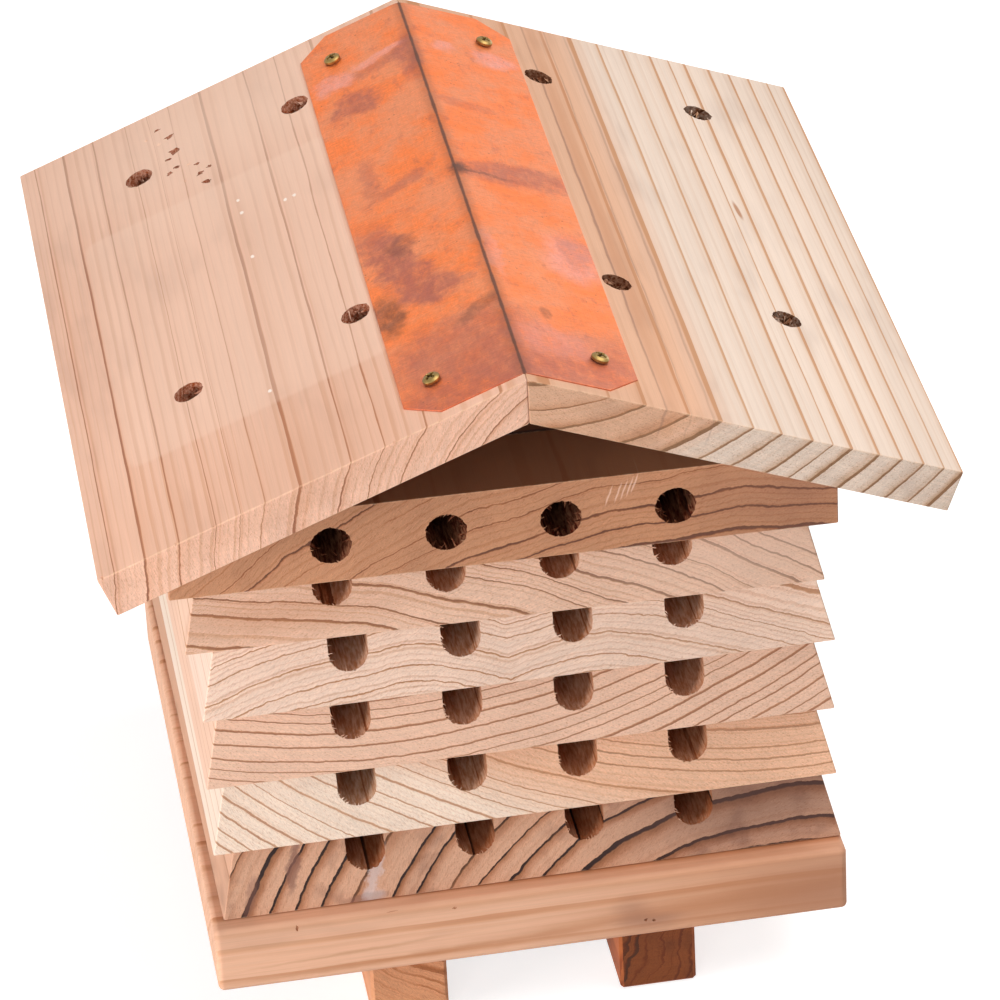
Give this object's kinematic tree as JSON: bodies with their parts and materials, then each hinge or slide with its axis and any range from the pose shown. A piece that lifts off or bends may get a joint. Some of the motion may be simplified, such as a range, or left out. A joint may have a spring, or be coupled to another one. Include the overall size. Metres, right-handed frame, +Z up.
{
  "type": "bee hotel",
  "caption": "Hive-shaped wooden bee hotel with bevelled nest trays that swivel out on a rear bolt, a drilled top block, pitched roof and copper ridge strip.",
  "frame": {"origin": "on the ground under the middle of the roof, at the soles of the two battens", "axes": "+Z up, the front with the nest entrances faces -Y, +X to the right of someone facing the front"},
  "size_m": [0.1984, 0.198, 0.2004],
  "materials": {
    "cedar_roof_left": "planed, bare",
    "cedar_roof_right": "planed, bare",
    "cedar_block": "planed, bare",
    "cedar_tray": "planed, bare",
    "cedar_base": "planed, bare",
    "cedar_foot": "planed, bare",
    "cedar_gable": "planed, bare",
    "copper": "copper sheet with a mottled patina",
    "brass_screw": "brassed, dull",
    "zinc_steel": "zinc plated"
  },
  "bodies": {
    "hotel_body": {"foot_left": "cedar_foot", "foot_right": "cedar_foot", "foot_screws_left": "brass_screw", "foot_screws_right": "brass_screw", "base_board": "cedar_base", "top_block": "cedar_block", "pivot_bolt": "zinc_steel", "pivot_washer_lower": "zinc_steel", "pivot_washer_upper": "zinc_steel", "pivot_nut": "zinc_steel", "gable_front": "cedar_gable", "gable_rear": "cedar_gable", "roof_board_left": "cedar_roof_left", "roof_board_right": "cedar_roof_right", "roof_screws_left": "brass_screw", "roof_screws_right": "brass_screw", "ridge_cap": "copper", "ridge_cap_screws": "brass_screw"},
    "tray_1": {"nest_tray_1": "cedar_tray"},
    "tray_2": {"nest_tray_2": "cedar_tray"},
    "tray_3": {"nest_tray_3": "cedar_tray"},
    "tray_4": {"nest_tray_4": "cedar_tray"},
    "tray_5": {"nest_tray_5": "cedar_tray"}
  },
  "joints": [
    {"name": "tray_1_swivel", "type": "hinge", "parent": "hotel_body", "child": "tray_1", "pos_m": [-0.062, 0.086, 0.0467], "axis": [0, 0, -1], "range_deg": [-5, 110]},
    {"name": "tray_2_swivel", "type": "hinge", "parent": "hotel_body", "child": "tray_2", "pos_m": [-0.062, 0.086, 0.0659], "axis": [0, 0, -1], "range_deg": [-5, 110]},
    {"name": "tray_3_swivel", "type": "hinge", "parent": "hotel_body", "child": "tray_3", "pos_m": [-0.062, 0.086, 0.0851], "axis": [0, 0, -1], "range_deg": [-5, 110]},
    {"name": "tray_4_swivel", "type": "hinge", "parent": "hotel_body", "child": "tray_4", "pos_m": [-0.062, 0.086, 0.1043], "axis": [0, 0, -1], "range_deg": [-5, 110]},
    {"name": "tray_5_swivel", "type": "hinge", "parent": "hotel_body", "child": "tray_5", "pos_m": [-0.062, 0.086, 0.1235], "axis": [0, 0, -1], "range_deg": [-5, 110]}
  ]
}
